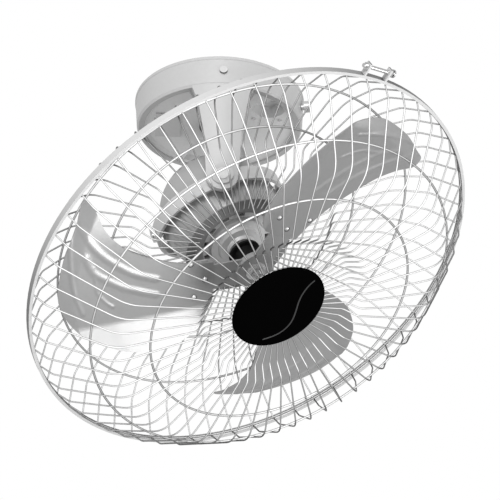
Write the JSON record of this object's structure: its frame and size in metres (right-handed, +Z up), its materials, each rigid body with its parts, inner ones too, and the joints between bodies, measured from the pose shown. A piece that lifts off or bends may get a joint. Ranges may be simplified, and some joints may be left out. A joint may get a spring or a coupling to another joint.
{
  "type": "orbital ceiling fan",
  "caption": "Caged ceiling fan whose head hangs on a gimbal ring in a two-arm yoke under a round canopy and is led round a cone by a crank.",
  "frame": {"origin": "middle of the ceiling plate's top face, where it meets the ceiling", "axes": "+Z up into the ceiling; Y along the axis of the yoke's two arms, with -Y towards the viewer of the picture; the fan hangs towards -Z"},
  "size_m": [0.433, 0.4422, 0.3507],
  "materials": {
    "plate_steel": "satin",
    "canopy_paint": "gloss",
    "dish_steel": "satin",
    "cover_steel": "bright",
    "rivet_steel": "bright",
    "socket_iron": "satin",
    "screw_steel": "bright",
    "knob_plastic": "gloss",
    "pin_steel": "bright",
    "washer_plastic": "matte",
    "ring_paint": "gloss",
    "nut_steel": "bright",
    "motor_paint": "satin",
    "shell_alloy": "satin",
    "boss_alloy": "satin",
    "stator_steel": "matte",
    "copper_wire": "satin",
    "bearing_steel": "bright",
    "gear_plastic": "matte",
    "dark_paint": "satin",
    "guard_paint": "gloss",
    "band_paint": "gloss",
    "badge_black": "gloss",
    "clip_plastic": "matte",
    "disc_black": "matte",
    "carrier_steel": "satin",
    "blade_paint": "satin"
  },
  "bodies": {
    "mount": {"ceiling_plate": "plate_steel", "canopy": "canopy_paint", "underside_dish": "dish_steel", "dish_cover": "cover_steel", "dish_rivets": "rivet_steel", "orbit_socket": "socket_iron", "canopy_screws": "screw_steel", "canopy_knob": "knob_plastic", "yoke_pins": "pin_steel", "yoke_washers": "washer_plastic"},
    "ring": {"gimbal_ring": "ring_paint", "head_pins": "pin_steel", "pin_nuts": "nut_steel"},
    "head": {"rear_cover": "motor_paint", "front_shell": "shell_alloy", "front_boss": "boss_alloy", "stator": "stator_steel", "windings": "copper_wire", "bearings": "bearing_steel", "gear_case": "gear_plastic", "guard_plate": "dark_paint", "plate_screws": "screw_steel", "rear_guard": "guard_paint", "guard_band": "band_paint", "clamp_screw": "screw_steel", "front_guard": "guard_paint", "badge": "badge_black", "badge_clip": "clip_plastic"},
    "crank": {"crank": "socket_iron", "crank_pin": "pin_steel"},
    "rotor": {"shaft": "pin_steel", "motor_rotor": "stator_steel", "rotor_disc": "disc_black", "blade_carrier": "carrier_steel", "blade_a": "blade_paint", "blade_b": "blade_paint", "blade_c": "blade_paint", "blade_rivets": "rivet_steel", "hub_nut": "nut_steel"}
  },
  "joints": [
    {"name": "ring_tilt", "type": "hinge", "parent": "mount", "child": "ring", "pos_m": [0, 0, -0.131], "axis": [0, 1, 0], "range_deg": [-6.4, 53.6]},
    {"name": "head_tilt", "type": "hinge", "parent": "ring", "child": "head", "pos_m": [0, 0, -0.131], "axis": [0.9164, 0, 0.4003], "range_deg": [-11.1, 48.9]},
    {"name": "rotor_spin", "type": "hinge", "parent": "head", "child": "rotor", "pos_m": [0, 0, -0.131], "axis": [0.3788, -0.3239, -0.867], "continuous": true},
    {"name": "crank_turn", "type": "hinge", "parent": "head", "child": "crank", "pos_m": [0, 0, -0.131], "axis": [0.3788, -0.3239, -0.867], "continuous": true}
  ],
  "couplings": [
    {"joint": "crank_turn", "follows": "rotor_spin", "ratio": 0.005}
  ]
}
